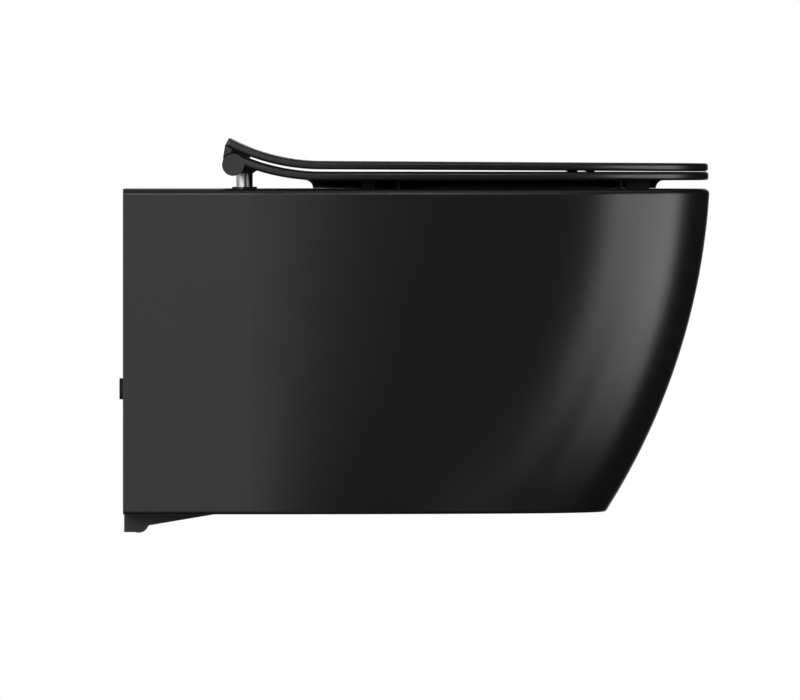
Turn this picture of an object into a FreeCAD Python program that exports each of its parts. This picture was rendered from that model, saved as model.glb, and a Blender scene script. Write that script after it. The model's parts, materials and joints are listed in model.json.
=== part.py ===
"""Wall hung toilet: ceramic pan, seat ring and lid on a soft-close top hinge.

Frame: +X away from the wall, +Y to the left of a person facing the wall,
+Z up. The origin is midway between the two wall fixing holes, on the plane of
the pan's back face. Millimetres.
"""
import FreeCAD, Part
import math
import os
from FreeCAD import Vector

# --- pan, outside -----------------------------------------------------------
PAN_LENGTH = 530.0
PAN_WIDTH = 360.0
PAN_DEPTH = 293.0            # rim to underside
SHOULDER_X = 117.0           # the sides run straight from the wall to here
NOSE_RADIUS = 145.0          # in plan, a long side arc runs into it
FRONT_SWEEP_RADIUS = 610.0   # the front's profile is one arc
FRONT_LEAN = 3.8             # degrees from upright, at its widest point
WIDEST_BELOW_RIM = 6.0
RIM_EDGE_RADIUS = 5.0
FOOT_EDGE_RADIUS = 3.0

# --- heights below the rim, from the wall-hung pattern ----------------------
FIXING_BELOW_RIM = 80.0
INLET_BELOW_RIM = 45.0
OUTLET_BELOW_RIM = 180.0
FIXING_SPACING = 180.0

# --- pan, ceramic -----------------------------------------------------------
FLANK_WALL = 11.0
DECK_WALL = 14.0
BASE_WALL = 12.0
BACK_WALL = 16.0
BOWL_WALL = 9.0
BACK_OPENING_WIDTH = 296.0
BACK_OPENING_TOP = 118.0     # below the rim
BACK_OPENING_BOTTOM = 266.0  # below the rim
BACK_OPENING_RADIUS = 22.0
HEEL_WIDTH = 150.0
HEEL_DROP = 17.5
HEEL_FLAT = 10.0
HEEL_TOE = 22.0
HEEL_TOE_RISE = 6.0
HEEL_LENGTH = 90.0
BOWL_EDGE_RADIUS = 5.0

# --- trap and outlet --------------------------------------------------------
TRAP_RADIUS = 31.0
TRAP_WALL = 8.0
TRAP_BEND_RADIUS = 42.0
OUTLET_BEND_RADIUS = 42.0
OUTLET_RADIUS = 51.0
OUTLET_WALL = 8.0
OUTLET_SPIGOT_LENGTH = 50.0
OUTLET_TURN_RUN = 17.0       # the trap comes down behind the spigot
TRAP_DIP_X = 218.0
TRAP_DIP_DEPTH = 264.0
TRAP_MOUTH_RUN = 47.0
WEIR_X = 125.0
WEIR_DEPTH = 76.0

# --- flush inlet ------------------------------------------------------------
INLET_RADIUS = 27.5
INLET_DEPTH = 45.0
DUCT_RADIUS = 20.0
DUCT_WALL = 8.0
DUCT_END_X = 190.0
DIFFUSER_WALL = 2.0
DIFFUSER_CLEARANCE = 0.2
DIFFUSER_LENGTH = 34.0
DIFFUSER_LIP = 3.0
DIFFUSER_SLOT = 7.0

# --- wall fixing ------------------------------------------------------------
STUD_RADIUS = 6.25
SLEEVE_RADIUS = 11.0
SLEEVE_CLEARANCE = 0.3
SLEEVE_BOSS_WALL = 9.0
SLEEVE_BOSS_LENGTH = 82.0
SLEEVE_LENGTH = 122.0
LOCK_SCREW_RADIUS = 3.0
LOCK_SCREW_LENGTH = 20.0
LOCK_SCREW_ENTRY = 7.0       # how far the sleeve's hole runs on inside
LOCK_SCREW_GAP = 0.6
PAD_RADIUS = 9.55
PAD_THICKNESS = 3.2
PAD_INSET = 15.0

# --- hinge line, measured from the rim and the wall -------------------------
HINGE_X = 99.2
HINGE_ABOVE_RIM = 21.7
HUB_RADIUS = 10.0
SEAT_HOLE_SPACING = 155.0
SEAT_HOLE_RADIUS = 8.0
POST_X = 108.5
POST_RADIUS = 7.0
POST_STUD_RADIUS = 4.0
POST_STUD_LENGTH = 42.0
POST_SPIGOT_RADIUS = 3.0
POST_SPIGOT_LENGTH = 4.0
WASHER_RADIUS = 11.0
WASHER_THICKNESS = 1.5
ANCHOR_CLEARANCE = 0.2
ANCHOR_BORE_CLEARANCE = 0.2
ANCHOR_LENGTH = 28.0
ANCHOR_NUT_LENGTH = 9.0
ANCHOR_NUT_FLATS = 13.0
BLOCK_INNER_Y = 66.0
BLOCK_WIDTH = 33.0
BLOCK_FOOT_ABOVE_RIM = 13.8
BLOCK_FRONT_X = 119.2
BLOCK_BEVEL_RUN = 3.2
BLOCK_BEVEL_RISE = 2.4
BLOCK_FRONT_HEIGHT = 1.8
PIN_RADIUS = 4.0
PIN_FIT = 0.02
PIN_END_GAP = 2.0
RUNNING_FIT = 0.05
CARTRIDGE_RADIUS = 7.0
BARREL_WIDTH = 33.0
HINGE_SIDE_GAP = 2.0
HUB_CAP = 10.0
SWEEP_GAP = 1.0              # round what turns about the hinge line

# --- seat ring and lid, side profile ----------------------------------------
SWEEP_X = 178.5              # the flat seat starts to rise behind this line
LID_SWEEP_RADIUS = 177.0     # of the lid's top; the other faces are parallel
LID_THICKNESS = 7.4
LID_RING_GAP = 2.4
RING_THICKNESS = 7.6
RING_ABOVE_RIM = 7.6
LID_FALL = 0.33              # degrees, down to the front
LID_NOSE_SETBACK = 1.2       # behind the pan's front
RING_NOSE_SETBACK = 0.8
SEAT_EDGE_RADIUS = 2.5
LID_REAR_ANGLE = 28.0        # degrees round the sweep, to the lid's rear top
LID_REAR_WALL = 5.0
LID_RAIL_X = 113.0
LID_RAIL_INSET = 2.0         # degrees, how far the rail lies inside the plate
RING_REAR_ANGLE = 24.7

# --- seat ring aperture, collar and buffers ---------------------------------
APERTURE_REAR_X = 189.0
APERTURE_FRONT_MARGIN = 67.0     # from the pan's front
APERTURE_SIDE_MARGIN = 74.0      # from the pan's side
COLLAR_WALL = 18.5
COLLAR_FLARE = 7.5
COLLAR_CLEARANCE = 0.4
BUFFER_CLEARANCE = 0.1
BUFFER_BASE = 1.8
BUFFER_STEP = 1.2
BUFFER_WIDTH = 12.0
FRONT_BUFFER_SETBACK = 65.5      # from the pan's front
FRONT_BUFFER_INSET = 90.0        # from the pan's side
FRONT_BUFFER_LENGTH = 22.5
REAR_BUFFER_X = 221.0
REAR_BUFFER_INSET = 46.0
REAR_BUFFER_LENGTH = 14.0
FRONT_PEG_SETBACK = 82.0
FRONT_PEG_INSET = 83.0
FRONT_PEG_RADIUS = 2.5
REAR_PEG_X = 248.0
REAR_PEG_INSET = 46.0
REAR_PEG_RADIUS = 1.6
LID_BUFFER_REAR_SETBACK = 124.8
LID_BUFFER_REAR_RADIUS = 4.5
LID_BUFFER_FRONT_SETBACK = 108.5
LID_BUFFER_FRONT_RADIUS = 3.6
LID_BUFFER_INSET = 62.0
LID_BUFFER_SEAT = 2.0
LID_BUFFER_CLEARANCE = 0.15

# --- bowl -------------------------------------------------------------------
BOWL_REAR_X = 173.0
BOWL_FRONT_MARGIN = 37.0         # from the pan's front, at the rim
BOWL_SIDE_MARGIN = 55.0          # from the pan's side, at the rim
SUMP_REAR_X = 246.0
SUMP_LENGTH = 40.0
SUMP_WIDTH = 40.0
BOWL_SECTIONS = (
    # depth below the rim, then how far the rear, the front and the side have
    # come in, from 0 at the rim to 1 at the sump
    (0.0, 0.0, 0.0, 0.0),
    (30.0, 0.014, 0.005, 0.005),
    (80.0, 0.123, 0.072, 0.086),
    (130.0, 0.342, 0.222, 0.257),
    (180.0, 0.658, 0.469, 0.505),
    (215.0, 0.890, 0.768, 0.752),
    (238.0, 1.0, 1.0, 1.0),
)

# --- worked out -------------------------------------------------------------
RIM_Z = FIXING_BELOW_RIM
BASE_Z = RIM_Z - PAN_DEPTH
INLET_Z = RIM_Z - INLET_BELOW_RIM
OUTLET_Z = RIM_Z - OUTLET_BELOW_RIM
HALF_WIDTH = PAN_WIDTH / 2
HINGE_Z = RIM_Z + HINGE_ABOVE_RIM
SEAT_HOLE_Y = SEAT_HOLE_SPACING / 2
FIXING_Y = FIXING_SPACING / 2
BLOCK_OUTER_Y = BLOCK_INNER_Y + BLOCK_WIDTH
BARREL_INNER_Y = BLOCK_OUTER_Y + HINGE_SIDE_GAP
BARREL_OUTER_Y = BARREL_INNER_Y + BARREL_WIDTH
HUB_INNER_Y = BARREL_OUTER_Y + HINGE_SIDE_GAP
CARTRIDGE_END_Y = HALF_WIDTH - HUB_CAP
BLOCK_FOOT_Z = RIM_Z + BLOCK_FOOT_ABOVE_RIM
BOWL_FRONT_X = PAN_LENGTH - BOWL_FRONT_MARGIN
APERTURE_LENGTH = PAN_LENGTH - APERTURE_FRONT_MARGIN - APERTURE_REAR_X
APERTURE_WIDTH = PAN_WIDTH - 2 * APERTURE_SIDE_MARGIN
APERTURE_X = APERTURE_REAR_X + APERTURE_LENGTH / 2
RING_TOP_RADIUS = LID_SWEEP_RADIUS + LID_THICKNESS + LID_RING_GAP
RING_TOP_Z = RIM_Z + RING_ABOVE_RIM + RING_THICKNESS
SWEEP_CENTRE_Z = RING_TOP_Z + RING_TOP_RADIUS
PIN_AXIS = Vector(0, 1, 0)
UP = Vector(0, 0, 1)
AWAY = Vector(1, 0, 0)

# --- how the forms are drawn ------------------------------------------------
PLAN_STEPS = 6               # points along each arc of the plan
LOFT_LEVELS = 6              # outlines from the pan's rim to its underside
FLARE_LEVELS = 4             # outlines of the collar's flare
NEAR = 0.01                  # closer than this is the same place
PAST = 1.0                   # how far a cut runs past the face it opens


def box(x0, x1, y0, y1, z0, z1):
    """A block between two corners."""
    return Part.makeBox(x1 - x0, y1 - y0, z1 - z0, Vector(x0, y0, z0))


def rod(radius, start, direction, length):
    """A cylinder from a start point along a direction."""
    return Part.makeCylinder(radius, length, start, direction)


def tube(outer, inner, start, direction, length):
    """A hollow cylinder."""
    return rod(outer, start, direction, length).cut(
        rod(inner, start, direction, length))


def mirrored(shape):
    """The same piece on the other side of the pan's centre plane."""
    return shape.mirror(Vector(0, 0, 0), Vector(0, 1, 0))


def both_sides(shape):
    """The piece and its mirror image."""
    return Part.makeCompound([shape, mirrored(shape)])


def polygon_face(points):
    """A flat face from its corners."""
    return Part.Face(Part.makePolygon(list(points) + [points[0]]))


def side_slab(points, y0, y1):
    """A side-view outline of (x, z) corners, as thick as y0 to y1."""
    face = polygon_face([Vector(x, y0, z) for x, z in points])
    return face.extrude(Vector(0, y1 - y0, 0))


def front_x(below_rim):
    """Where the pan's front lies, at a height below the rim."""
    lean = math.radians(FRONT_LEAN)
    centre_x = PAN_LENGTH - FRONT_SWEEP_RADIUS * math.cos(lean)
    centre_depth = WIDEST_BELOW_RIM - FRONT_SWEEP_RADIUS * math.sin(lean)
    rise = below_rim - centre_depth
    return centre_x + math.sqrt(FRONT_SWEEP_RADIUS ** 2 - rise ** 2)


def side_arc(reach, half_width, nose_radius):
    """The radius of the side arc, and how far it turns to meet the nose."""
    run = reach - nose_radius
    narrow = half_width - nose_radius
    radius = (run ** 2 + half_width ** 2 - nose_radius ** 2) / (2 * narrow)
    return radius, math.asin(run / (radius - nose_radius))


def plan_points(front, half_width, nose_radius, z):
    """Points from the right shoulder, round the nose, to the left one."""
    reach = front - SHOULDER_X
    radius, turn = side_arc(reach, half_width, nose_radius)
    left = []
    for step in range(PLAN_STEPS):
        angle = turn * step / PLAN_STEPS
        left.append(Vector(SHOULDER_X + radius * math.sin(angle),
                           half_width - radius * (1 - math.cos(angle)), z))
    for step in range(PLAN_STEPS + 1):
        angle = turn + (math.pi / 2 - turn) * step / PLAN_STEPS
        left.append(Vector(front - nose_radius * (1 - math.sin(angle)),
                           nose_radius * math.cos(angle), z))
    right = [Vector(point.x, -point.y, z) for point in left[:-1]]
    return right + left[::-1]


def plan_wire(rear, front, inset, z):
    """The plan: straight sides, long side arcs and a round nose."""
    outline = plan_points(PAN_LENGTH, HALF_WIDTH, NOSE_RADIUS, 0.0)
    along = [0.0]
    for first, second in zip(outline, outline[1:]):
        along.append(along[-1] + first.distanceToPoint(second))
    half_width = HALF_WIDTH - inset
    nose = plan_points(front, half_width, NOSE_RADIUS - inset, z)
    curve = Part.BSplineCurve()
    curve.interpolate(Points=nose, Parameters=along, InitialTangent=AWAY,
                      FinalTangent=-AWAY)
    corners = [nose[-1], Vector(rear, half_width, z),
               Vector(rear, -half_width, z), nose[0]]
    edges = [curve.toShape()]
    for first, second in zip(corners, corners[1:]):
        edges.append(Part.makeLine(first, second))
    return Part.Wire(edges)


def oval_wire(centre_x, half_length, half_width, z):
    """An oval that is longer along X."""
    centre = Vector(centre_x, 0, z)
    if abs(half_length - half_width) < NEAR:
        return Part.Wire(Part.makeCircle(half_length, centre))
    if half_length > half_width:
        ellipse = Part.Ellipse(Vector(centre_x + half_length, 0, z),
                               Vector(centre_x, half_width, z), centre)
    else:
        ellipse = Part.Ellipse(Vector(centre_x, half_width, z),
                               Vector(centre_x - half_length, 0, z), centre)
    return Part.Wire(ellipse.toShape())


def oval_prism(centre_x, length, width, z0, z1):
    """An upright oval block."""
    face = Part.Face(oval_wire(centre_x, length / 2, width / 2, z0))
    return face.extrude(Vector(0, 0, z1 - z0))


def flank_loft(inset, rear, top_depth, bottom_depth):
    """The pan's outer form between two depths, drawn in by an inset."""
    wires = []
    for level in range(LOFT_LEVELS + 1):
        share = level / LOFT_LEVELS
        depth = top_depth + (bottom_depth - top_depth) * share
        wires.append(plan_wire(rear, front_x(depth) - inset, inset,
                               RIM_Z - depth))
    return Part.makeLoft(wires, True, False)


def edges_where(shape, test):
    """The edges whose every sample point passes the test."""
    chosen = []
    for edge in shape.Edges:
        points = edge.discretize(5)
        if all(test(point) for point in points):
            chosen.append(edge)
    return chosen


def edges_level(shape, z):
    """The edges that lie at one height, but for those across the back."""
    chosen = edges_where(shape, lambda point: abs(point.z - z) < NEAR)
    return [edge for edge in chosen if edge.BoundBox.XLength > NEAR]


def pan_outside():
    """The closed outer form, rounded at its foot and its rim."""
    body = flank_loft(0.0, 0.0, 0.0, PAN_DEPTH)
    body = body.makeFillet(FOOT_EDGE_RADIUS, edges_level(body, BASE_Z))
    return body.makeFillet(RIM_EDGE_RADIUS, edges_level(body, RIM_Z))


def with_bowl(body):
    """The pan with the bowl let into it, rounded at the bowl's edge."""
    body = body.cut(bowl_loft(0.0))
    edge = [edge for edge in edges_level(body, RIM_Z)
            if edge.BoundBox.XMin > BOWL_REAR_X - PAST
            and edge.BoundBox.XMax < BOWL_FRONT_X + PAST]
    return body.makeFillet(BOWL_EDGE_RADIUS, edge)


def heel():
    """The bearing heel under the base, at the wall."""
    toe_z = BASE_Z - HEEL_DROP + HEEL_TOE_RISE
    bottom = BASE_Z - HEEL_DROP
    side = -HEEL_WIDTH / 2
    inside = BASE_Z + BASE_WALL / 2
    start = Vector(HEEL_FLAT, side, bottom)
    toe = Vector(HEEL_TOE, side, toe_z)
    middle = Vector(HEEL_TOE - HEEL_TOE_RISE / 2, side, bottom + HEEL_TOE_RISE / 4)
    outline = [
        Part.makeLine(Vector(0, side, inside), Vector(0, side, bottom)),
        Part.makeLine(Vector(0, side, bottom), start),
        Part.Arc(start, middle, toe).toShape(),
        Part.makeLine(toe, Vector(HEEL_LENGTH, side, BASE_Z)),
        Part.makeLine(Vector(HEEL_LENGTH, side, BASE_Z),
                      Vector(HEEL_LENGTH, side, inside)),
        Part.makeLine(Vector(HEEL_LENGTH, side, inside), Vector(0, side, inside)),
    ]
    return Part.Face(Part.Wire(outline)).extrude(Vector(0, HEEL_WIDTH, 0))


def bowl_loft(wall):
    """The bowl's form, or with a wall its outside."""
    bowl_side = HALF_WIDTH - BOWL_SIDE_MARGIN
    wires = []
    for depth, rear_in, front_in, side_in in BOWL_SECTIONS:
        rear = BOWL_REAR_X + (SUMP_REAR_X - BOWL_REAR_X) * rear_in
        sump_front = SUMP_REAR_X + SUMP_LENGTH
        front = BOWL_FRONT_X + (sump_front - BOWL_FRONT_X) * front_in
        side = bowl_side + (SUMP_WIDTH / 2 - bowl_side) * side_in
        low = wall if depth == BOWL_SECTIONS[-1][0] else 0.0
        wires.append(oval_wire((rear + front) / 2, (front - rear) / 2 + wall,
                               side + wall, RIM_Z - depth - low))
    return Part.makeLoft(wires, True, False)


def bend(corner, before, after, radius):
    """The start, middle and end of an arc that rounds a corner."""
    back = (before - corner).normalize()
    ahead = (after - corner).normalize()
    half = back.getAngle(ahead) / 2
    reach = radius / math.tan(half)
    bisector = (back + ahead).normalize()
    centre = corner + bisector * (radius / math.sin(half))
    middle = centre - bisector * radius
    return corner + back * reach, middle, corner + ahead * reach


def trap_path():
    """The line of the trap: down from the bowl, over the weir and out."""
    mouth = Vector(TRAP_DIP_X + TRAP_MOUTH_RUN, 0,
                   RIM_Z - TRAP_DIP_DEPTH + TRAP_MOUTH_RUN)
    dip = Vector(TRAP_DIP_X, 0, RIM_Z - TRAP_DIP_DEPTH)
    weir = Vector(WEIR_X, 0, RIM_Z - WEIR_DEPTH)
    turn = Vector(OUTLET_SPIGOT_LENGTH + OUTLET_TURN_RUN, 0, OUTLET_Z)
    end = Vector(0, 0, OUTLET_Z)
    points = [mouth, dip, weir, turn, end]
    radii = [TRAP_BEND_RADIUS, TRAP_BEND_RADIUS, OUTLET_BEND_RADIUS]
    edges = []
    here = mouth
    for index, radius in enumerate(radii, start=1):
        first, middle, last = bend(points[index], points[index - 1],
                                   points[index + 1], radius)
        edges.append(Part.makeLine(here, first))
        edges.append(Part.Arc(first, middle, last).toShape())
        here = last
    edges.append(Part.makeLine(here, end))
    return Part.Wire(edges), mouth, (dip - mouth).normalize()


def trap_tube(radius):
    """A round tube along the trap's line."""
    path, mouth, direction = trap_path()
    circle = Part.Wire(Part.makeCircle(radius, mouth, direction))
    return path.makePipeShell([circle], True, True)


def duct_bore():
    """The flush water's way: the inlet socket, then the duct to the bowl."""
    start = Vector(-PAST, 0, INLET_Z)
    socket = rod(INLET_RADIUS, start, AWAY, INLET_DEPTH + PAST)
    return socket.fuse(rod(DUCT_RADIUS, start, AWAY, DUCT_END_X + PAST))


def duct_outside():
    """The ceramic round the inlet socket and the duct."""
    start = Vector(0, 0, INLET_Z)
    socket = rod(INLET_RADIUS + DUCT_WALL, start, AWAY, INLET_DEPTH + DUCT_WALL)
    return socket.fuse(rod(DUCT_RADIUS + DUCT_WALL, start, AWAY, DUCT_END_X))


def sleeve_bosses():
    """The two bosses that carry the wall fixing sleeves."""
    radius = SLEEVE_RADIUS + SLEEVE_CLEARANCE + SLEEVE_BOSS_WALL
    return both_sides(rod(radius, Vector(0, FIXING_Y, 0), AWAY,
                          SLEEVE_BOSS_LENGTH))


def back_opening():
    """The opening in the pan's back, below the fixings, round the outlet."""
    half = BACK_OPENING_WIDTH / 2
    block = box(-PAST, BACK_WALL + PAST, -half, half,
                RIM_Z - BACK_OPENING_BOTTOM, RIM_Z - BACK_OPENING_TOP)
    corners = [edge for edge in block.Edges
               if edge.BoundBox.XLength > BACK_WALL]
    return block.makeFillet(BACK_OPENING_RADIUS, corners)


def pan_body():
    """The vitreous pan, one casting."""
    body = with_bowl(pan_outside()).fuse(heel())
    spigot = rod(OUTLET_RADIUS, Vector(0, 0, OUTLET_Z), AWAY,
                 OUTLET_SPIGOT_LENGTH)
    inside = [bowl_loft(BOWL_WALL), trap_tube(TRAP_RADIUS + TRAP_WALL),
              spigot, duct_outside(), sleeve_bosses()]
    cavity = flank_loft(FLANK_WALL, BACK_WALL, DECK_WALL,
                        PAN_DEPTH - BASE_WALL)
    hollow = cavity.fuse(back_opening()).cut(inside)
    sleeve_bore = both_sides(rod(SLEEVE_RADIUS + SLEEVE_CLEARANCE,
                                 Vector(-PAST, FIXING_Y, 0), AWAY,
                                 SLEEVE_BOSS_LENGTH + 2 * PAST))
    seat_bore = both_sides(rod(SEAT_HOLE_RADIUS,
                               Vector(POST_X, SEAT_HOLE_Y, RIM_Z + PAST),
                               -UP, DECK_WALL + 2 * PAST))
    outlet_bore = rod(OUTLET_RADIUS - OUTLET_WALL, Vector(-PAST, 0, OUTLET_Z),
                      AWAY, OUTLET_SPIGOT_LENGTH - OUTLET_WALL + PAST)
    ways = [hollow, trap_tube(TRAP_RADIUS), outlet_bore, duct_bore(),
            sleeve_bore, seat_bore]
    return body.cut(ways)


def flush_diffuser():
    """The insert at the duct's end that throws the water both ways."""
    radius = DUCT_RADIUS - DIFFUSER_CLEARANCE
    start = Vector(DUCT_END_X - DIFFUSER_LENGTH, 0, INLET_Z)
    body = rod(radius, start, AWAY, DIFFUSER_LENGTH)
    body = body.cut(rod(radius - DIFFUSER_WALL, start, AWAY,
                        DIFFUSER_LENGTH - DIFFUSER_LIP))
    slot_x = DUCT_END_X - DIFFUSER_LIP - DIFFUSER_SLOT
    slot = box(slot_x, slot_x + DIFFUSER_SLOT, -radius - PAST, radius + PAST,
               INLET_Z - radius / 2, INLET_Z + radius / 2)
    return body.cut(slot)


def wall_pads():
    """The two rubber pads on the back face, level with the outlet."""
    y = HALF_WIDTH - PAD_INSET
    return both_sides(rod(PAD_RADIUS, Vector(0, y, OUTLET_Z), -AWAY,
                          PAD_THICKNESS))


def lock_screw_line():
    """Where a locking screw starts and which way it runs.

    It leans from the stud's axis towards the seat hole, so that a key put
    down through the seat hole turns it.
    """
    low = Vector(POST_X, FIXING_Y, 0)
    high = Vector(POST_X, SEAT_HOLE_Y, RIM_Z)
    direction = (high - low).normalize()
    return low + direction * (STUD_RADIUS + LOCK_SCREW_GAP), direction


def stud_sleeves():
    """The nylon sleeves that the wall studs enter."""
    sleeve = tube(SLEEVE_RADIUS, STUD_RADIUS, Vector(0, FIXING_Y, 0), AWAY,
                  SLEEVE_LENGTH)
    start, direction = lock_screw_line()
    hole = rod(LOCK_SCREW_RADIUS, start - direction * LOCK_SCREW_ENTRY,
               direction, LOCK_SCREW_LENGTH + LOCK_SCREW_ENTRY)
    return both_sides(sleeve.cut(hole))


def sleeve_lock_screws():
    """The screws that clamp the sleeves on the studs."""
    start, direction = lock_screw_line()
    return both_sides(rod(LOCK_SCREW_RADIUS, start, direction,
                          LOCK_SCREW_LENGTH))


def seat_anchors():
    """The sleeves that grip the deck holes from inside."""
    top = Vector(POST_X, SEAT_HOLE_Y, RIM_Z)
    return both_sides(tube(SEAT_HOLE_RADIUS - ANCHOR_CLEARANCE,
                           POST_STUD_RADIUS + ANCHOR_BORE_CLEARANCE,
                           top, -UP, ANCHOR_LENGTH))


def anchor_nuts():
    """The hexagon nuts that draw the anchors up."""
    z = RIM_Z - ANCHOR_LENGTH
    corner = ANCHOR_NUT_FLATS / math.sqrt(3.0)
    points = []
    for step in range(6):
        turn = math.radians(60.0 * step)
        points.append(Vector(POST_X + corner * math.cos(turn),
                             SEAT_HOLE_Y + corner * math.sin(turn), z))
    nut = polygon_face(points).extrude(-UP * ANCHOR_NUT_LENGTH)
    bore = rod(POST_STUD_RADIUS, Vector(POST_X, SEAT_HOLE_Y, z), -UP,
               ANCHOR_NUT_LENGTH)
    return both_sides(nut.cut(bore))


def post_washers():
    """The rubber washers between the posts and the ceramic."""
    return both_sides(tube(WASHER_RADIUS,
                           POST_STUD_RADIUS + ANCHOR_BORE_CLEARANCE,
                           Vector(POST_X, SEAT_HOLE_Y, RIM_Z), UP,
                           WASHER_THICKNESS))


def hinge_post():
    """One turned post: stud, shank and the spigot into its block."""
    foot = Vector(POST_X, SEAT_HOLE_Y, RIM_Z + WASHER_THICKNESS)
    top = Vector(POST_X, SEAT_HOLE_Y, BLOCK_FOOT_Z)
    shank = rod(POST_RADIUS, foot, UP, top.z - foot.z)
    stud = rod(POST_STUD_RADIUS, foot, -UP, POST_STUD_LENGTH)
    spigot = rod(POST_SPIGOT_RADIUS, top, UP, POST_SPIGOT_LENGTH)
    return shank.fuse([stud, spigot])


def hinge_block():
    """One fixed knuckle, on its post, that holds the hinge pin."""
    knuckle = rod(HUB_RADIUS, Vector(HINGE_X, BLOCK_INNER_Y, HINGE_Z),
                  PIN_AXIS, BLOCK_WIDTH)
    knuckle = knuckle.cut(box(HINGE_X - 2 * HUB_RADIUS,
                              HINGE_X + 2 * HUB_RADIUS,
                              BLOCK_INNER_Y - PAST, BLOCK_OUTER_Y + PAST,
                              RIM_Z, BLOCK_FOOT_Z))
    bevel_z = BLOCK_FOOT_Z + BLOCK_BEVEL_RISE
    outline = [(HINGE_X - HUB_RADIUS / 2, BLOCK_FOOT_Z),
               (BLOCK_FRONT_X - BLOCK_BEVEL_RUN, BLOCK_FOOT_Z),
               (BLOCK_FRONT_X, bevel_z),
               (BLOCK_FRONT_X, bevel_z + BLOCK_FRONT_HEIGHT),
               (HINGE_X, HINGE_Z)]
    foot = side_slab(outline, BLOCK_INNER_Y, BLOCK_OUTER_Y)
    pin_hole = rod(PIN_RADIUS + PIN_FIT, Vector(HINGE_X, 0, HINGE_Z),
                   PIN_AXIS, HALF_WIDTH)
    socket = rod(POST_SPIGOT_RADIUS, Vector(POST_X, SEAT_HOLE_Y, BLOCK_FOOT_Z),
                 UP, POST_SPIGOT_LENGTH)
    return knuckle.fuse(foot).removeSplitter().cut([pin_hole, socket])


def hinge_pin():
    """One steel pin, held in its block, that the lid and ring turn on."""
    length = CARTRIDGE_END_Y - PIN_END_GAP - BLOCK_INNER_Y
    return rod(PIN_RADIUS, Vector(HINGE_X, BLOCK_INNER_Y, HINGE_Z), PIN_AXIS,
               length)


def sweep_point(radius, angle):
    """A point of the side profile, an angle round the sweep's centre."""
    turn = math.radians(angle)
    return Vector(SWEEP_X - radius * math.sin(turn), 0,
                  SWEEP_CENTRE_Z - radius * math.cos(turn))


def swept_plate(top_radius, thickness, rear_angle, fall, nose_x):
    """A plate, flat in front and swept up behind, across the whole width."""
    sides = []
    for radius in (top_radius, top_radius + thickness):
        rear = sweep_point(radius, rear_angle)
        middle = sweep_point(radius, (rear_angle + fall) / 2)
        front = sweep_point(radius, fall)
        drop = (nose_x - front.x) * math.tan(math.radians(fall))
        nose = Vector(nose_x, 0, front.z - drop)
        sides.append((rear, middle, front, nose))
    top, under = sides
    outline = [
        Part.Arc(top[0], top[1], top[2]).toShape(),
        Part.makeLine(top[2], top[3]),
        Part.makeLine(top[3], under[3]),
        Part.makeLine(under[3], under[2]),
        Part.Arc(under[2], under[1], under[0]).toShape(),
        Part.makeLine(under[0], top[0]),
    ]
    face = Part.Face(Part.Wire(outline))
    face.translate(Vector(0, -PAN_WIDTH, 0))
    return face.extrude(Vector(0, 2 * PAN_WIDTH, 0))


def seat_plan(nose_x):
    """The upright prism that trims a plate to the seat's outline."""
    wire = plan_wire(0.0, nose_x, 0.0, RIM_Z)
    return Part.Face(wire).extrude(Vector(0, 0, SWEEP_CENTRE_Z - RIM_Z))


def rounded_plate(plate, nose_x):
    """The plate trimmed to the outline, with its outer edges rounded."""
    trimmed = plate.common(seat_plan(nose_x))
    rounded = []
    for edge in trimmed.Edges:
        bounds = edge.BoundBox
        upright = bounds.XLength < NEAR and bounds.YLength < NEAR
        across = bounds.YLength > PAN_WIDTH - NEAR and bounds.XLength < NEAR
        if not (upright or across):
            rounded.append(edge)
    return trimmed.makeFillet(SEAT_EDGE_RADIUS, rounded)


def seat_hub(inner_y, outer_y, radius):
    """A round hub on the hinge line, on the left side."""
    return rod(radius, Vector(HINGE_X, inner_y, HINGE_Z), PIN_AXIS,
               outer_y - inner_y)


def collar():
    """The flared skirt round the aperture, down to the pan's rim."""
    top_z = RIM_Z + RING_ABOVE_RIM
    low_z = RIM_Z + COLLAR_CLEARANCE
    wires = []
    for level in range(FLARE_LEVELS + 1):
        share = level / FLARE_LEVELS
        flare = COLLAR_FLARE * (1.0 - math.sqrt(1.0 - share ** 2))
        wires.append(oval_wire(APERTURE_X,
                               APERTURE_LENGTH / 2 + COLLAR_WALL + flare,
                               APERTURE_WIDTH / 2 + COLLAR_WALL + flare,
                               low_z + (top_z - low_z) * share))
    return Part.makeLoft(wires, True, False)


def seat_ring():
    """The seat ring with its collar and the two hinge hubs."""
    plate = swept_plate(RING_TOP_RADIUS, RING_THICKNESS, RING_REAR_ANGLE, 0.0,
                        PAN_LENGTH + PAST)
    ring = rounded_plate(plate, PAN_LENGTH - RING_NOSE_SETBACK).fuse(collar())
    sweep = BLOCK_FRONT_X - HINGE_X + 2 * SWEEP_GAP
    clear = rod(sweep, Vector(HINGE_X, -HUB_INNER_Y, HINGE_Z), PIN_AXIS,
                2 * HUB_INNER_Y)
    ring = ring.cut(clear)
    aperture = oval_prism(APERTURE_X, APERTURE_LENGTH, APERTURE_WIDTH,
                          RIM_Z - PAST, RING_TOP_Z + PAST)
    ring = ring.cut(aperture)
    hub = seat_hub(HUB_INNER_Y, HALF_WIDTH, HUB_RADIUS)
    ring = ring.fuse([hub, mirrored(hub)])
    bore = seat_hub(HUB_INNER_Y - PAST, CARTRIDGE_END_Y, CARTRIDGE_RADIUS)
    return ring.cut([bore, mirrored(bore)]).removeSplitter()


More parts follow.
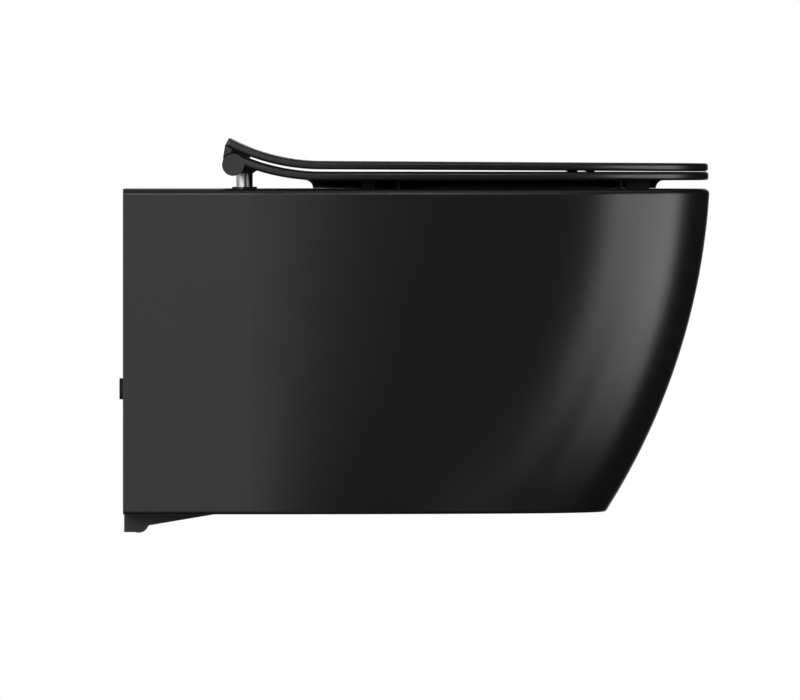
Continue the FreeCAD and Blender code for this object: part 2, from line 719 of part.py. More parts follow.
def lid_rear_outline():
    """Points of the lid's rear wall: its top, its inside and its foot.

    The wall runs straight down from the lid's rear edge and meets the round
    barrel at a tangent.
    """
    top = sweep_point(LID_SWEEP_RADIUS + LID_THICKNESS, LID_REAR_ANGLE)
    inside = sweep_point(LID_SWEEP_RADIUS + LID_THICKNESS / 2,
                         LID_REAR_ANGLE - LID_RAIL_INSET)
    rise = top - Vector(HINGE_X, 0, HINGE_Z)
    spread = math.acos(HUB_RADIUS / rise.Length)
    turn = math.atan2(rise.z, rise.x) + spread
    return top, inside, hinge_point(HUB_RADIUS, turn)


def hinge_point(radius, turn):
    """A side-view point at a radius and an angle round the hinge line."""
    return Vector(HINGE_X + radius * math.cos(turn), 0,
                  HINGE_Z + radius * math.sin(turn))


def lid_wall(inner_y, outer_y):
    """The lid's rear wall, clear of the fixed block or the ring's hub."""
    top, inside, foot = lid_rear_outline()
    outline = [(top.x, top.z), (foot.x, foot.z),
               (foot.x + LID_REAR_WALL, foot.z), (inside.x, inside.z)]
    wall = side_slab(outline, inner_y, outer_y)
    return wall.cut(seat_hub(inner_y - PAST, outer_y + PAST,
                             HUB_RADIUS + SWEEP_GAP))


def lid_barrel(inner_y, outer_y):
    """The lid's rear wall, thickened into a round barrel and a rail."""
    top, inside, foot = lid_rear_outline()
    below = hinge_point(HUB_RADIUS, -math.pi / 2)
    front = hinge_point(HUB_RADIUS, 0.0)
    rail_low = Vector(LID_RAIL_X, 0, HINGE_Z + HUB_RADIUS / 2)
    rail_high = Vector(LID_RAIL_X, 0, HINGE_Z + HUB_RADIUS)
    outline = [
        Part.makeLine(top, foot),
        Part.Arc(foot, below, front).toShape(),
        Part.makeLine(front, rail_low),
        Part.makeLine(rail_low, rail_high),
        Part.makeLine(rail_high, inside),
        Part.makeLine(inside, top),
    ]
    face = Part.Face(Part.Wire(outline))
    face.translate(Vector(0, inner_y, 0))
    return face.extrude(Vector(0, outer_y - inner_y, 0))


def lid_shell():
    """The lid with its rear wall and the barrels that turn on the pins."""
    plate = swept_plate(LID_SWEEP_RADIUS, LID_THICKNESS, LID_REAR_ANGLE,
                        LID_FALL, PAN_LENGTH + PAST)
    lid = rounded_plate(plate, PAN_LENGTH - LID_NOSE_SETBACK)
    rail_y = BLOCK_INNER_Y - HINGE_SIDE_GAP
    side = lid_wall(rail_y, BARREL_INNER_Y)
    side = side.fuse(lid_barrel(BARREL_INNER_Y, BARREL_OUTER_Y))
    side = side.fuse(lid_wall(BARREL_OUTER_Y, HALF_WIDTH - SEAT_EDGE_RADIUS))
    side = side.cut(seat_hub(BARREL_INNER_Y - PAST, BARREL_OUTER_Y + PAST,
                             CARTRIDGE_RADIUS))
    rear = lid_barrel(-rail_y, rail_y).fuse([side, mirrored(side)])
    return lid.fuse(rear).removeSplitter()


def hinge_cartridge(inner_y, outer_y):
    """A damper or bush: round outside, running on the pin inside."""
    start = Vector(HINGE_X, inner_y, HINGE_Z)
    return tube(CARTRIDGE_RADIUS, PIN_RADIUS + RUNNING_FIT, start, PIN_AXIS,
                outer_y - inner_y)


def ring_buffers(x, inset, length):
    """A pair of buffers under the ring: a broad base and a narrower foot."""
    y = HALF_WIDTH - inset
    top = RIM_Z + RING_ABOVE_RIM
    base = box(x - length / 2, x + length / 2, y - BUFFER_WIDTH / 2,
               y + BUFFER_WIDTH / 2, top - BUFFER_BASE, top)
    foot = box(x - length / 2 + BUFFER_STEP, x + length / 2 - BUFFER_STEP,
               y - BUFFER_WIDTH / 2 + BUFFER_STEP,
               y + BUFFER_WIDTH / 2 - BUFFER_STEP,
               RIM_Z + BUFFER_CLEARANCE, top - BUFFER_BASE)
    return both_sides(base.fuse(foot))


def ring_pegs(x, inset, radius):
    """A pair of small round stops under the ring."""
    top = Vector(x, HALF_WIDTH - inset, RIM_Z + RING_ABOVE_RIM)
    return both_sides(rod(radius, top, -UP, RING_ABOVE_RIM - BUFFER_CLEARANCE))


def lid_underside_z(x):
    """The height of the lid's underside on its flat part."""
    start = sweep_point(LID_SWEEP_RADIUS + LID_THICKNESS, LID_FALL)
    return start.z - (x - start.x) * math.tan(math.radians(LID_FALL))


def lid_buffers(x, radius):
    """A pair of buffers let into the lid's underside."""
    low = RING_TOP_Z + LID_BUFFER_CLEARANCE
    high = lid_underside_z(x) + LID_BUFFER_SEAT
    return both_sides(rod(radius, Vector(x, HALF_WIDTH - LID_BUFFER_INSET, low),
                          UP, high - low))


def build():
    """Every piece, by name."""
    lid_buffers_front = lid_buffers(PAN_LENGTH - LID_BUFFER_FRONT_SETBACK,
                                    LID_BUFFER_FRONT_RADIUS)
    lid_buffers_rear = lid_buffers(PAN_LENGTH - LID_BUFFER_REAR_SETBACK,
                                   LID_BUFFER_REAR_RADIUS)
    return {
        "pan_body": pan_body(),
        "flush_diffuser": flush_diffuser(),
        "wall_pads": wall_pads(),
        "stud_sleeves": stud_sleeves(),
        "sleeve_lock_screws": sleeve_lock_screws(),
        "seat_anchors": seat_anchors(),
        "anchor_nuts": anchor_nuts(),
        "post_washers": post_washers(),
        "hinge_post_left": hinge_post(),
        "hinge_post_right": mirrored(hinge_post()),
        "hinge_block_left": hinge_block(),
        "hinge_block_right": mirrored(hinge_block()),
        "hinge_pin_left": hinge_pin(),
        "hinge_pin_right": mirrored(hinge_pin()),
        "seat_ring": seat_ring(),
        "ring_damper": hinge_cartridge(HUB_INNER_Y, CARTRIDGE_END_Y),
        "ring_bush": mirrored(hinge_cartridge(HUB_INNER_Y, CARTRIDGE_END_Y)),
        "ring_buffers_front": ring_buffers(PAN_LENGTH - FRONT_BUFFER_SETBACK,
                                           FRONT_BUFFER_INSET,
                                           FRONT_BUFFER_LENGTH),
        "ring_buffers_rear": ring_buffers(REAR_BUFFER_X, REAR_BUFFER_INSET,
                                          REAR_BUFFER_LENGTH),
        "ring_pegs_front": ring_pegs(PAN_LENGTH - FRONT_PEG_SETBACK,
                                     FRONT_PEG_INSET, FRONT_PEG_RADIUS),
        "ring_pegs_rear": ring_pegs(REAR_PEG_X, REAR_PEG_INSET,
                                    REAR_PEG_RADIUS),
        "lid_shell": lid_shell().cut([lid_buffers_front, lid_buffers_rear]),
        "lid_damper": mirrored(hinge_cartridge(BARREL_INNER_Y,
                                               BARREL_OUTER_Y)),
        "lid_bush": hinge_cartridge(BARREL_INNER_Y, BARREL_OUTER_Y),
        "lid_buffers_front": lid_buffers_front,
        "lid_buffers_rear": lid_buffers_rear,
    }


def main():
    """Write each piece to its own file."""
    os.makedirs("parts", exist_ok=True)
    for name, shape in build().items():
        print(name, "solids", len(shape.Solids), "valid", shape.isValid(),
              "volume", round(shape.Volume))
        shape.exportStep("parts/" + name + ".step")


main()
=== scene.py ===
"""Wall hung toilet in satin black, dressed and lit as in a product studio.

The model's frame is in metres: +X runs away from the wall, +Y to the left of
a person who faces the wall, and +Z up. The rim is 80 mm above the origin.
"""

import json
import logging
import math
from dataclasses import dataclass
from enum import Enum
from typing import Any, Union

import bmesh
import bpy
from mathutils import Matrix, Vector

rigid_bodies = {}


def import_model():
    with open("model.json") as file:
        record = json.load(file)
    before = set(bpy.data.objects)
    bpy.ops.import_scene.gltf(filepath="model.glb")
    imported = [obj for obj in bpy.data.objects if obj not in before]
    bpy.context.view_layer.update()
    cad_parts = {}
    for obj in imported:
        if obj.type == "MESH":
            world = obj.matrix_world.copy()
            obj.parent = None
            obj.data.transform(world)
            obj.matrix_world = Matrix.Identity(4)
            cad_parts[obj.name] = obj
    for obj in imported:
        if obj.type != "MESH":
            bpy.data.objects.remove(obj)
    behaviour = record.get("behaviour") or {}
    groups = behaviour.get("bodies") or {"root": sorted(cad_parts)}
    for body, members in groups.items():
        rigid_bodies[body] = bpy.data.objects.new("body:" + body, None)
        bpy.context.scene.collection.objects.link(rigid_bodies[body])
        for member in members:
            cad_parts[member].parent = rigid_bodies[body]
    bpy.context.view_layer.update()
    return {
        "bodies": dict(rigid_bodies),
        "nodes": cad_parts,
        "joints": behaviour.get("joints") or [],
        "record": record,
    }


LOG = logging.getLogger("toilet")
Colour = tuple[float, float, float]
Point = tuple[float, float, float]
Span = tuple[float, float]
Material = bpy.types.Material
Socket = bpy.types.NodeSocket
Term = Union["Value", float]

WHITE = (1.0, 1.0, 1.0, 1.0)
RADIAN = math.degrees(1.0)       # in degrees
# The sockets of a Mix node that take and give colours.
MIX_MASK, MIX_FIRST, MIX_SECOND, MIX_RESULT = 0, 6, 7, 2


class Value:
    """A number that varies over a surface, written as an expression."""

    def __init__(self, nodes: "Nodes", socket: Socket) -> None:
        """Wrap one output socket of a node tree."""
        self.nodes = nodes
        self.socket = socket

    def _math(self, operation: str, first: Term, second: Term) -> "Value":
        """Add one Math node.

        Args:
            operation: The node's operation.
            first: The first term.
            second: The second term.

        Returns:
            The node's result.
        """
        node = self.nodes.node("ShaderNodeMath", {"operation": operation},
                               {0: first, 1: second})
        return Value(self.nodes, node.outputs[0])

    def __add__(self, other: Term) -> "Value":
        """Add."""
        return self._math("ADD", self, other)

    def __radd__(self, other: Term) -> "Value":
        """Add, reflected."""
        return self._math("ADD", other, self)

    def __sub__(self, other: Term) -> "Value":
        """Subtract."""
        return self._math("SUBTRACT", self, other)

    def __rsub__(self, other: Term) -> "Value":
        """Subtract, reflected."""
        return self._math("SUBTRACT", other, self)

    def __mul__(self, other: Term) -> "Value":
        """Multiply."""
        return self._math("MULTIPLY", self, other)

    def __rmul__(self, other: Term) -> "Value":
        """Multiply, reflected."""
        return self._math("MULTIPLY", other, self)

    def __neg__(self) -> "Value":
        """Turn the sign round."""
        return self * -1.0

    def clamped(self) -> "Value":
        """The value held between 0 and 1."""
        return self._math("MINIMUM", self._math("MAXIMUM", self, 0.0), 1.0)

    def step(self, low: float, high: float) -> "Value":
        """A smooth step.

        Args:
            low: Where the step starts, at 0.
            high: Where it ends, at 1.

        Returns:
            The stepped value.
        """
        node = self.nodes.node(
            "ShaderNodeMapRange", {"interpolation_type": "SMOOTHSTEP"},
            {"Value": self, "From Min": low, "From Max": high})
        return Value(self.nodes, node.outputs["Result"])

    def size(self) -> "Value":
        """The value without its sign."""
        return self._math("ABSOLUTE", self, 0.0)

    def angle(self, other: "Value") -> "Value":
        """The angle, in degrees, whose sine and cosine are these values."""
        return self._math("ARCTAN2", self, other) * RADIAN

    def arcsine(self) -> "Value":
        """The angle, in degrees, whose sine this is."""
        return self._math("ARCSINE", self, 0.0) * RADIAN

    def window(self, centre: float, reach: float, fade: float) -> "Value":
        """1 near a centre, 0 far from it.

        Args:
            centre: The middle of the window.
            reach: How far from the middle it has fallen to a half.
            fade: How far on each side of that it takes to fall.

        Returns:
            The windowed value.
        """
        return (self - centre).size().step(reach + fade, reach - fade)


class Nodes:
    """A node tree and how nodes are put into it."""

    def __init__(self, tree: bpy.types.NodeTree) -> None:
        """Take a tree."""
        self.tree = tree

    def node(self, kind: str, settings: dict[str, Any] | None = None,
             inputs: dict[str | int, Any] | None = None) -> bpy.types.Node:
        """Add a node.

        Args:
            kind: The node's type.
            settings: Its properties, set before its sockets.
            inputs: Values, or what is linked, by socket name or index.

        Returns:
            The new node.
        """
        node = self.tree.nodes.new(kind)
        for name, setting in (settings or {}).items():
            setattr(node, name, setting)
        for name, given in (inputs or {}).items():
            self.feed(node.inputs[name], given)
        return node

    def feed(self, socket: Socket, given: Any) -> None:
        """Link or set one input socket.

        Args:
            socket: The input.
            given: A value or an output to link, or what the input is set to.
        """
        if isinstance(given, Value):
            self.tree.links.new(given.socket, socket)
        elif isinstance(given, Socket):
            self.tree.links.new(given, socket)
        else:
            socket.default_value = given

    def value(self, kind: str, output: str,
              inputs: dict[str | int, Any] | None = None) -> Value:
        """Add a node and take one of its outputs as a value."""
        return Value(self, self.node(kind, None, inputs).outputs[output])

    def backdrop_ray(self) -> Value:
        """Tell the rays that see the backdrop from those that light with it.

        Returns:
            1 for camera, glossy and transmission rays, 0 for the others.
        """
        path = self.node("ShaderNodeLightPath")
        camera, glossy, through = (Value(self, path.outputs[name]) for name in (
            "Is Camera Ray", "Is Glossy Ray", "Is Transmission Ray"))
        return (camera + glossy + through).clamped()


@dataclass(frozen=True)
class Layer:
    """One layer of a finish: how fine it is, and what it does.

    Its scale is in features to a metre, and its detail is how many finer
    layers lie in it. It adds up to rough to the roughness, and raises the
    surface by up to height, in metres, as strongly as strength says.
    """

    scale: float
    detail: float = 2.0
    rough: float = 0.0
    height: float = 0.0
    strength: float = 0.0


class Paint(Nodes):
    """One material's node tree."""

    def __init__(self, name: str) -> None:
        """Start a material that has only its Principled shader.

        Args:
            name: The material's name.
        """
        self.material = bpy.data.materials.new(name)
        self.material.use_nodes = True
        super().__init__(self.material.node_tree)
        self.shader = self.tree.nodes["Principled BSDF"]
        self.place = self.node("ShaderNodeTexCoord").outputs["Object"]

    def noise(self, layer: Layer, place: Socket | None = None) -> Value:
        """Cloudy noise from 0 to 1.

        Args:
            layer: How fine it is.
            place: Where it is read, if not at the surface's own place.

        Returns:
            The noise.
        """
        return self.value("ShaderNodeTexNoise", "Fac",
                          {"Vector": place or self.place,
                           "Scale": layer.scale, "Detail": layer.detail})

    def cells(self, layer: Layer) -> Value:
        """The distance to the nearest of scattered points, 0 at each."""
        return self.value("ShaderNodeTexVoronoi", "Distance",
                          {"Vector": self.place, "Scale": layer.scale})

    def axis(self, name: str) -> Value:
        """One of the surface's X, Y and Z, in metres."""
        return self.value("ShaderNodeSeparateXYZ", name, {0: self.place})

    def stretched(self, scale: Point) -> Socket:
        """The surface's place, scaled by a factor on each axis."""
        node = self.node("ShaderNodeMapping", None,
                         {"Vector": self.place, "Scale": scale})
        return node.outputs["Vector"]

    def mix(self, mask: Term, first: Any, second: Any) -> Socket:
        """Blend two colours.

        Args:
            mask: 0 for the first colour, 1 for the second.
            first: A colour or its socket.
            second: A colour or its socket.

        Returns:
            The blended colour's socket.
        """
        node = self.node("ShaderNodeMix", {"data_type": "RGBA"},
                         {MIX_MASK: mask, MIX_FIRST: first,
                          MIX_SECOND: second})
        return node.outputs[MIX_RESULT]

    def mottled(self, mask: Term, colour: Colour, tones: Span) -> Socket:
        """A colour that varies between a darker and a lighter tone of it.

        Args:
            mask: 0 for the darker tone, 1 for the lighter.
            colour: The colour.
            tones: The share of it that each tone has.

        Returns:
            The varied colour's socket.
        """
        dark, light = (rgba(colour, tone) for tone in tones)
        return self.mix(mask, dark, light)

    def roughen(self, least: float, *parts: tuple[Value, float]) -> None:
        """Set the roughness.

        Args:
            least: Its lowest value.
            parts: Each a value from 0 to 1 and how much it adds at most.
        """
        rough = least
        for value, share in parts:
            rough = rough + value * share
        self.set(Roughness=rough.clamped())

    def bump(self, *parts: tuple[Value, Layer]) -> None:
        """Raise the surface.

        Args:
            parts: Each a value from 0 to 1 and the layer it belongs to.
        """
        normal = None
        for value, layer in parts:
            inputs = {"Height": value, "Distance": layer.height,
                      "Strength": layer.strength}
            if normal is not None:
                inputs["Normal"] = normal
            node = self.node("ShaderNodeBump", None, inputs)
            normal = node.outputs["Normal"]
        self.set(Normal=normal)

    def set(self, **sockets: Any) -> None:
        """Set or link the shader's sockets, with spaces as underscores."""
        for name, given in sockets.items():
            self.feed(self.shader.inputs[name.replace("_", " ")], given)


def rgba(colour: Colour, share: float = 1.0) -> tuple[float, ...]:
    """A colour with its alpha, brightened or dimmed by a share."""
    return (*(channel * share for channel in colour), 1.0)


@dataclass(frozen=True)
class SatinGlaze:
    """Matt black glaze on vitreous china: close, very slightly wavy.

    It ends at the pan's back face, where the bare body shows.
    """

    name: str = "satin_glaze"
    colour: Colour = (0.0085, 0.0085, 0.0092)
    tones: Span = (0.92, 1.08)
    roughness: float = 0.23
    glazed_from: Span = (0.0004, 0.0016)
    body: Colour = (0.030, 0.029, 0.028)
    body_rough: float = 0.35
    cloud: Layer = Layer(9.0, 3.0, rough=0.03)
    waves: Layer = Layer(150.0, height=0.0006, strength=0.05)
    grain: Layer = Layer(2600.0, 1.0, rough=0.02, height=0.00004, strength=0.10)
    pits: Layer = Layer(420.0, height=0.00003, strength=0.05)
    pit_reach: float = 0.10

    def material(self) -> Material:
        """Build the glaze.

        Returns:
            Its material.
        """
        paint = Paint(self.name)
        cloud = paint.noise(self.cloud)
        grain = paint.noise(self.grain)
        waves = paint.noise(self.waves)
        pits = paint.cells(self.pits).step(self.pit_reach, 0.0)
        bare = 1.0 - paint.axis("X").step(*self.glazed_from)
        glaze = paint.mottled(cloud, self.colour, self.tones)
        paint.set(Base_Color=paint.mix(bare, glaze, rgba(self.body)))
        paint.roughen(self.roughness, (cloud, self.cloud.rough),
                      (grain, self.grain.rough), (bare, self.body_rough))
        paint.bump((waves, self.waves), (grain, self.grain),
                   (pits, self.pits))
        return paint.material


class Grain(Enum):
    """The grain that its tool left on a moulded surface."""

    SATIN = Layer(3000.0, rough=0.03, height=0.00002, strength=0.07)
    FINE = Layer(3000.0, rough=0.03, height=0.00004, strength=0.20)
    COARSE = Layer(3000.0, rough=0.03, height=0.00008, strength=0.35)


@dataclass(frozen=True)
class Moulded:
    """A moulded plastic with the tool's grain and faint flow."""

    name: str
    colour: Colour
    roughness: float
    grain: Grain = Grain.SATIN
    tones: Span = (0.93, 1.07)
    cloud: Layer = Layer(24.0, 3.0, rough=0.03)
    flow: Layer = Layer(60.0, 1.0, height=0.0003, strength=0.02)
    flow_stretch: Point = (1.0, 3.0, 3.0)

    def material(self) -> Material:
        """Build the plastic.

        Returns:
            Its material.
        """
        paint = Paint(self.name)
        cloud = paint.noise(self.cloud)
        grain = paint.noise(self.grain.value)
        flow = paint.noise(self.flow, paint.stretched(self.flow_stretch))
        paint.set(Base_Color=paint.mottled(cloud, self.colour, self.tones))
        paint.roughen(self.roughness, (cloud, self.cloud.rough),
                      (grain, self.grain.value.rough))
        paint.bump((flow, self.flow), (grain, self.grain.value))
        return paint.material


@dataclass(frozen=True)
class Rubber:
    """Matt black rubber with a little bloom and dust in its grain."""

    name: str = "matt_rubber"
    colour: Colour = (0.010, 0.010, 0.010)
    bloom: Colour = (0.030, 0.030, 0.031)
    bloom_from: Span = (0.50, 0.80)
    bloom_share: float = 0.5
    roughness: float = 0.68
    shine: float = 0.35
    cloud: Layer = Layer(90.0, 4.0, rough=0.10, height=0.0002, strength=0.08)
    grain: Layer = Layer(2400.0, rough=0.06, height=0.00006, strength=0.35)

    def material(self) -> Material:
        """Build the rubber.

        Returns:
            Its material.
        """
        paint = Paint(self.name)
        cloud = paint.noise(self.cloud)
        grain = paint.noise(self.grain)
        bloom = cloud.step(*self.bloom_from) * self.bloom_share
        paint.set(Base_Color=paint.mix(bloom, rgba(self.colour),
                                       rgba(self.bloom)),
                  Specular_IOR_Level=self.shine)
        paint.roughen(self.roughness, (cloud, self.cloud.rough),
                      (grain, self.grain.rough))
        paint.bump((grain, self.grain), (cloud, self.cloud))
        return paint.material


class Lathe(Enum):
    """The axis a steel piece was turned on, as its rings' stretch."""

    ACROSS = (0.4, 9.0, 0.4)
    UPRIGHT = (0.4, 0.4, 9.0)


@dataclass(frozen=True)
class TurnedSteel:
    """Stainless steel with the lathe's fine rings along one axis."""

    name: str
    lathe: Lathe
    colour: Colour = (0.56, 0.56, 0.55)
    tones: Span = (0.86, 1.10)
    ring_share: float = 0.6
    roughness: float = 0.20
    rings: Layer = Layer(900.0, rough=0.10, height=0.00003, strength=0.25)
    smear: Layer = Layer(120.0, 3.0, rough=0.10)

    def material(self) -> Material:
        """Build the steel.

        Returns:
            Its material.
        """
        paint = Paint(self.name)
        rings = paint.noise(self.rings, paint.stretched(self.lathe.value))
        smear = paint.noise(self.smear)
        tone = rings * self.ring_share + smear * (1.0 - self.ring_share)
        paint.set(Base_Color=paint.mottled(tone, self.colour, self.tones),
                  Metallic=1.0)
        paint.roughen(self.roughness, (rings, self.rings.rough),
                      (smear, self.smear.rough))
        paint.bump((rings, self.rings))
        return paint.material


@dataclass(frozen=True)
class CoatedZinc:
    """Cast zinc under a satin black coat with a faint orange peel."""

    name: str = "coated_zinc"
    colour: Colour = (0.013, 0.013, 0.014)
    tones: Span = (0.90, 1.15)
    roughness: float = 0.32
    cloud: Layer = Layer(40.0, 3.0, rough=0.05)
    peel: Layer = Layer(900.0, 1.0, rough=0.05, height=0.00006, strength=0.18)

    def material(self) -> Material:
        """Build the coat.

        Returns:
            Its material.
        """
        paint = Paint(self.name)
        cloud = paint.noise(self.cloud)
        peel = paint.noise(self.peel)
        paint.set(Base_Color=paint.mottled(cloud, self.colour, self.tones))
        paint.roughen(self.roughness, (cloud, self.cloud.rough),
                      (peel, self.peel.rough))
        paint.bump((peel, self.peel))
        return paint.material


class Finishes:
    """Every finish on the object, built once."""

    def __init__(self) -> None:
        """Build them."""
        self.glaze = SatinGlaze().material()
        self.duroplast = Moulded(
            "satin_duroplast", (0.0090, 0.0090, 0.0096), 0.24).material()
        self.rubber = Rubber().material()
        self.white_nylon = Moulded(
            "natural_nylon", (0.72, 0.71, 0.67), 0.45, Grain.FINE).material()
        self.black_nylon = Moulded(
            "black_nylon", (0.016, 0.016, 0.016), 0.47, Grain.FINE).material()
        self.damper = Moulded(
            "grey_damper", (0.20, 0.20, 0.21), 0.42, Grain.COARSE).material()
        self.zinc = CoatedZinc().material()
        self.pin_steel = TurnedSteel(
            "turned_steel_pin", Lathe.ACROSS).material()
        self.post_steel = TurnedSteel(
            "turned_steel_post", Lathe.UPRIGHT).material()


def dress(frame: dict[str, Any], material: Material, *nodes: str) -> None:
    """Give CAD nodes their finish.

    Args:
        material: The finish.
        nodes: The nodes' names.
    """
    for node in nodes:
        for place in frame["nodes"][node].material_slots:
            place.material = material
        LOG.info("%s: %s", node, material.name)


@dataclass
class Pan:
    """The vitreous pan and what is fixed in it."""

    nylon: tuple[str, ...] = ("stud_sleeves", "seat_anchors")
    steel: tuple[str, ...] = ("sleeve_lock_screws", "anchor_nuts")

    def make(self, frame: dict[str, Any], finishes: Finishes) -> None:
        """Dress the casting, its diffuser and pads, and the fixings.

        Args:
            finishes: The object's finishes.
        """
        dress(frame, finishes.glaze, "pan_body")
        dress(frame, finishes.black_nylon, "flush_diffuser")
        dress(frame, finishes.rubber, "wall_pads")
        dress(frame, finishes.white_nylon, *self.nylon)
        dress(frame, finishes.post_steel, *self.steel)


@dataclass
class Hinge:
    """The fixed half of the hinge: posts, blocks and pins."""

    sides: tuple[str, ...] = ("left", "right")

    def make(self, frame: dict[str, Any], finishes: Finishes) -> None:
        """Dress the washers, and both sides' posts, blocks and pins.

        Args:
            finishes: The object's finishes.
        """
        dress(frame, finishes.rubber, "post_washers")
        for side in self.sides:
            dress(frame, finishes.post_steel, "hinge_post_" + side)
            dress(frame, finishes.zinc, "hinge_block_" + side)
            dress(frame, finishes.pin_steel, "hinge_pin_" + side)


@dataclass
class SeatRing:
    """The seat ring with its collar and hubs, and what is fixed to it."""

    stops: tuple[str, ...] = ("ring_buffers_front", "ring_buffers_rear",
                              "ring_pegs_front", "ring_pegs_rear")

    def make(self, frame: dict[str, Any], finishes: Finishes) -> None:
        """Dress the ring and its small pieces.

        Args:
            finishes: The object's finishes.
        """
        dress(frame, finishes.duroplast, "seat_ring")
        dress(frame, finishes.damper, "ring_damper")
        dress(frame, finishes.white_nylon, "ring_bush")
        dress(frame, finishes.rubber, *self.stops)


@dataclass
class Lid:
    """The lid with its barrels, and what is fixed to it."""

    buffers: tuple[str, ...] = ("lid_buffers_front", "lid_buffers_rear")

    def make(self, frame: dict[str, Any], finishes: Finishes) -> None:
        """Dress the lid and its small pieces.

        Args:
            finishes: The object's finishes.
        """
        dress(frame, finishes.duroplast, "lid_shell")
        dress(frame, finishes.damper, "lid_damper")
        dress(frame, finishes.white_nylon, "lid_bush")
        dress(frame, finishes.rubber, *self.buffers)


@dataclass(frozen=True)
class Softbox:
    """One soft window of light, by the direction in which it stands.

    Azimuths are in degrees from the camera's side of the room, growing
    towards the toilet's front. Elevations are from level. The reach and the
    fade have one number across and one up.
    """

    name: str
    azimuth: float
    elevation: float
    reach: Span
    fade: Span
    level: float
    both_ways: bool = False

    def glow(self, azimuth: Value, elevation: Value) -> Value:
        """The window's light in each direction.

        Args:
            azimuth: The direction's azimuth.
            elevation: The direction's elevation.

        Returns:
            Its level there.
        """
        way = azimuth.size() if self.both_ways else azimuth
        across = way.window(self.azimuth, self.reach[0], self.fade[0])
        up = elevation.window(self.elevation, self.reach[1], self.fade[1])
        return across * up * self.level


@dataclass
class Room:
    """What the world shows: soft windows in a dim room, white to the camera.

    The paper roll behind the toilet is seen, also in reflections, but gives
    no light.
    """

    dim: float = 0.012
    roll: Softbox = Softbox("paper roll", 180.0, 0.0, (9.0, 14.0), (5.0, 8.0),
                            1.0, both_ways=True)
    # Each has its azimuth, elevation, reach, fade and level.
    softboxes: tuple[Softbox, ...] = (
        Softbox("camera side", -36.0, 12.5, (39.0, 8.5), (2.0, 4.0), 4.0),
        Softbox("camera side, middle", -12.0, 8.0, (12.5, 14.0), (5.0, 6.0),
                0.6),
        Softbox("camera side, low", -30.0, -26.0, (42.0, 14.0), (10.0, 8.0),
                0.5),
        Softbox("front", 75.0, -0.5, (33.5, 13.8), (8.5, 6.5), 2.75),
        Softbox("front, low", 88.5, -17.5, (21.0, 6.0), (9.0, 5.0), 1.45),
        Softbox("edge key", 16.0, 26.0, (8.0, 5.0), (3.0, 3.0), 4.5),
        Softbox("back fill", -115.0, 8.0, (35.0, 28.0), (10.0, 10.0), 0.6),
        Softbox("ceiling", 0.0, 64.0, (190.0, 22.0), (5.0, 12.0), 0.4),
    )

    def make(self) -> None:
        """Build the world."""
        world = bpy.data.worlds.new("studio")
        world.use_nodes = True
        bpy.context.scene.world = world
        nodes = Nodes(world.node_tree)
        nodes.tree.nodes.clear()
        place = nodes.node("ShaderNodeTexCoord").outputs["Generated"]
        split = nodes.node("ShaderNodeSeparateXYZ", None, {0: place})
        away, side, up = (Value(nodes, split.outputs[name]) for name in "XYZ")
        azimuth = away.angle(-side)
        elevation = up.arcsine()
        light = self.dim
        for softbox in self.softboxes:
            light = light + softbox.glow(azimuth, elevation)
            LOG.info("softbox: %s", softbox.name)
        roll = self.roll.glow(azimuth, elevation)
        light = light + roll * nodes.backdrop_ray()
        seen = nodes.value("ShaderNodeLightPath", "Is Camera Ray")
        room = nodes.node("ShaderNodeBackground", None,
                          {"Color": WHITE,
                           "Strength": light * (1.0 - seen) + seen})
        nodes.node("ShaderNodeOutputWorld", None,
                   {"Surface": room.outputs[0]})


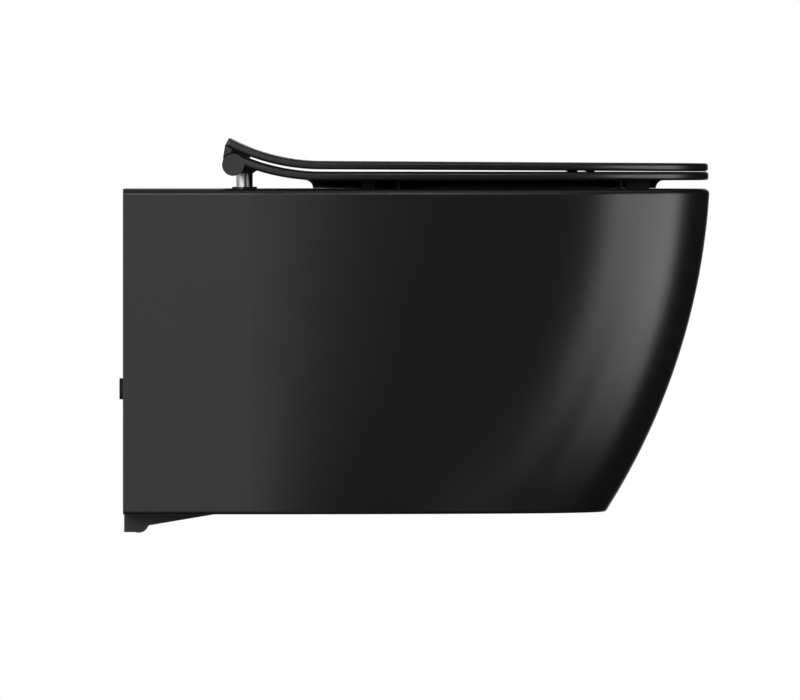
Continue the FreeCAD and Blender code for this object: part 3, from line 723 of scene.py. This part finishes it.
@dataclass
class Studio:
    """The floor and the camera.

    The floor's glow is at its least within the near radius, and from the far
    radius on the floor is pure white. The frame's width is what the picture
    takes in at the toilet.
    """

    floor_centre: float = 0.25
    floor_z: float = -0.46
    floor_radius: float = 60.0
    floor_segments: int = 96
    floor_tone: Colour = (0.80, 0.80, 0.80)
    floor_roughness: float = 0.9
    floor_shine: float = 0.1
    near_radius: float = 0.9
    far_radius: float = 2.6
    near_glow: float = 0.72
    frame_width: float = 0.7255
    look_at: Point = (0.24946, 0.0, -0.06642)
    distance: float = 24.0
    eye_z: float = 0.130
    sensor_width: float = 36.0
    sight: Span = (0.1, 200.0)

    def lay_floor(self) -> None:
        """Lay the pale floor, which keeps a shadow near the object."""
        mesh = bpy.data.meshes.new("floor")
        disc = bmesh.new()
        bmesh.ops.create_circle(disc, cap_ends=True,
                                segments=self.floor_segments,
                                radius=self.floor_radius)
        bmesh.ops.translate(disc, verts=disc.verts,
                            vec=(self.floor_centre, 0.0, self.floor_z))
        disc.to_mesh(mesh)
        disc.free()
        floor = bpy.data.objects.new("floor", mesh)
        bpy.context.scene.collection.objects.link(floor)
        floor.visible_glossy = False
        mesh.materials.append(self.floor_material())

    def floor_material(self) -> Material:
        """A pale floor that turns fully white away from the object.

        Returns:
            Its material.
        """
        paint = Paint("pale_floor")
        paint.set(Base_Color=rgba(self.floor_tone),
                  Roughness=self.floor_roughness,
                  Specular_IOR_Level=self.floor_shine)
        centred = paint.node(
            "ShaderNodeMapping", None,
            {"Vector": paint.place,
             "Location": (-self.floor_centre, 0.0, -self.floor_z)})
        far = paint.node("ShaderNodeVectorMath", {"operation": "LENGTH"},
                         {0: centred.outputs["Vector"]})
        away = Value(paint, far.outputs["Value"]).step(self.near_radius,
                                                       self.far_radius)
        glow = self.near_glow + away * (1.0 - self.near_glow)
        white = paint.node("ShaderNodeEmission", None,
                           {"Color": WHITE, "Strength": 1.0})
        mixer = paint.node("ShaderNodeMixShader", None,
                           {0: (paint.backdrop_ray() * glow).clamped(),
                            1: paint.shader.outputs[0],
                            2: white.outputs[0]})
        paint.feed(paint.tree.nodes["Material Output"].inputs["Surface"],
                   mixer.outputs[0])
        return paint.material

    def stand_camera(self) -> None:
        """Stand the camera square to the right side, far away."""
        lens = bpy.data.cameras.new("camera")
        lens.sensor_width = self.sensor_width
        lens.lens = self.sensor_width * self.distance / self.frame_width
        lens.clip_start, lens.clip_end = self.sight
        camera = bpy.data.objects.new("camera", lens)
        target = Vector(self.look_at)
        stand = Vector((target.x, -self.distance, self.eye_z))
        turn = (target - stand).to_track_quat("-Z", "Y").to_matrix().to_4x4()
        camera.matrix_world = Matrix.Translation(stand) @ turn
        bpy.context.scene.collection.objects.link(camera)
        bpy.context.scene.camera = camera

    def make(self) -> None:
        """Lay the floor, stand the camera and set how the picture is shown."""
        self.lay_floor()
        self.stand_camera()
        bpy.context.scene.view_settings.view_transform = "Standard"


def main() -> None:
    """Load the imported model, dress it, and set up the studio."""
    logging.basicConfig(level=logging.INFO, format="%(message)s")
    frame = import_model()
    finishes = Finishes()
    for assembly in (Pan(), Hinge(), SeatRing(), Lid()):
        assembly.make(frame, finishes)
    Room().make()
    Studio().make()


if __name__ == "__main__":
    main()
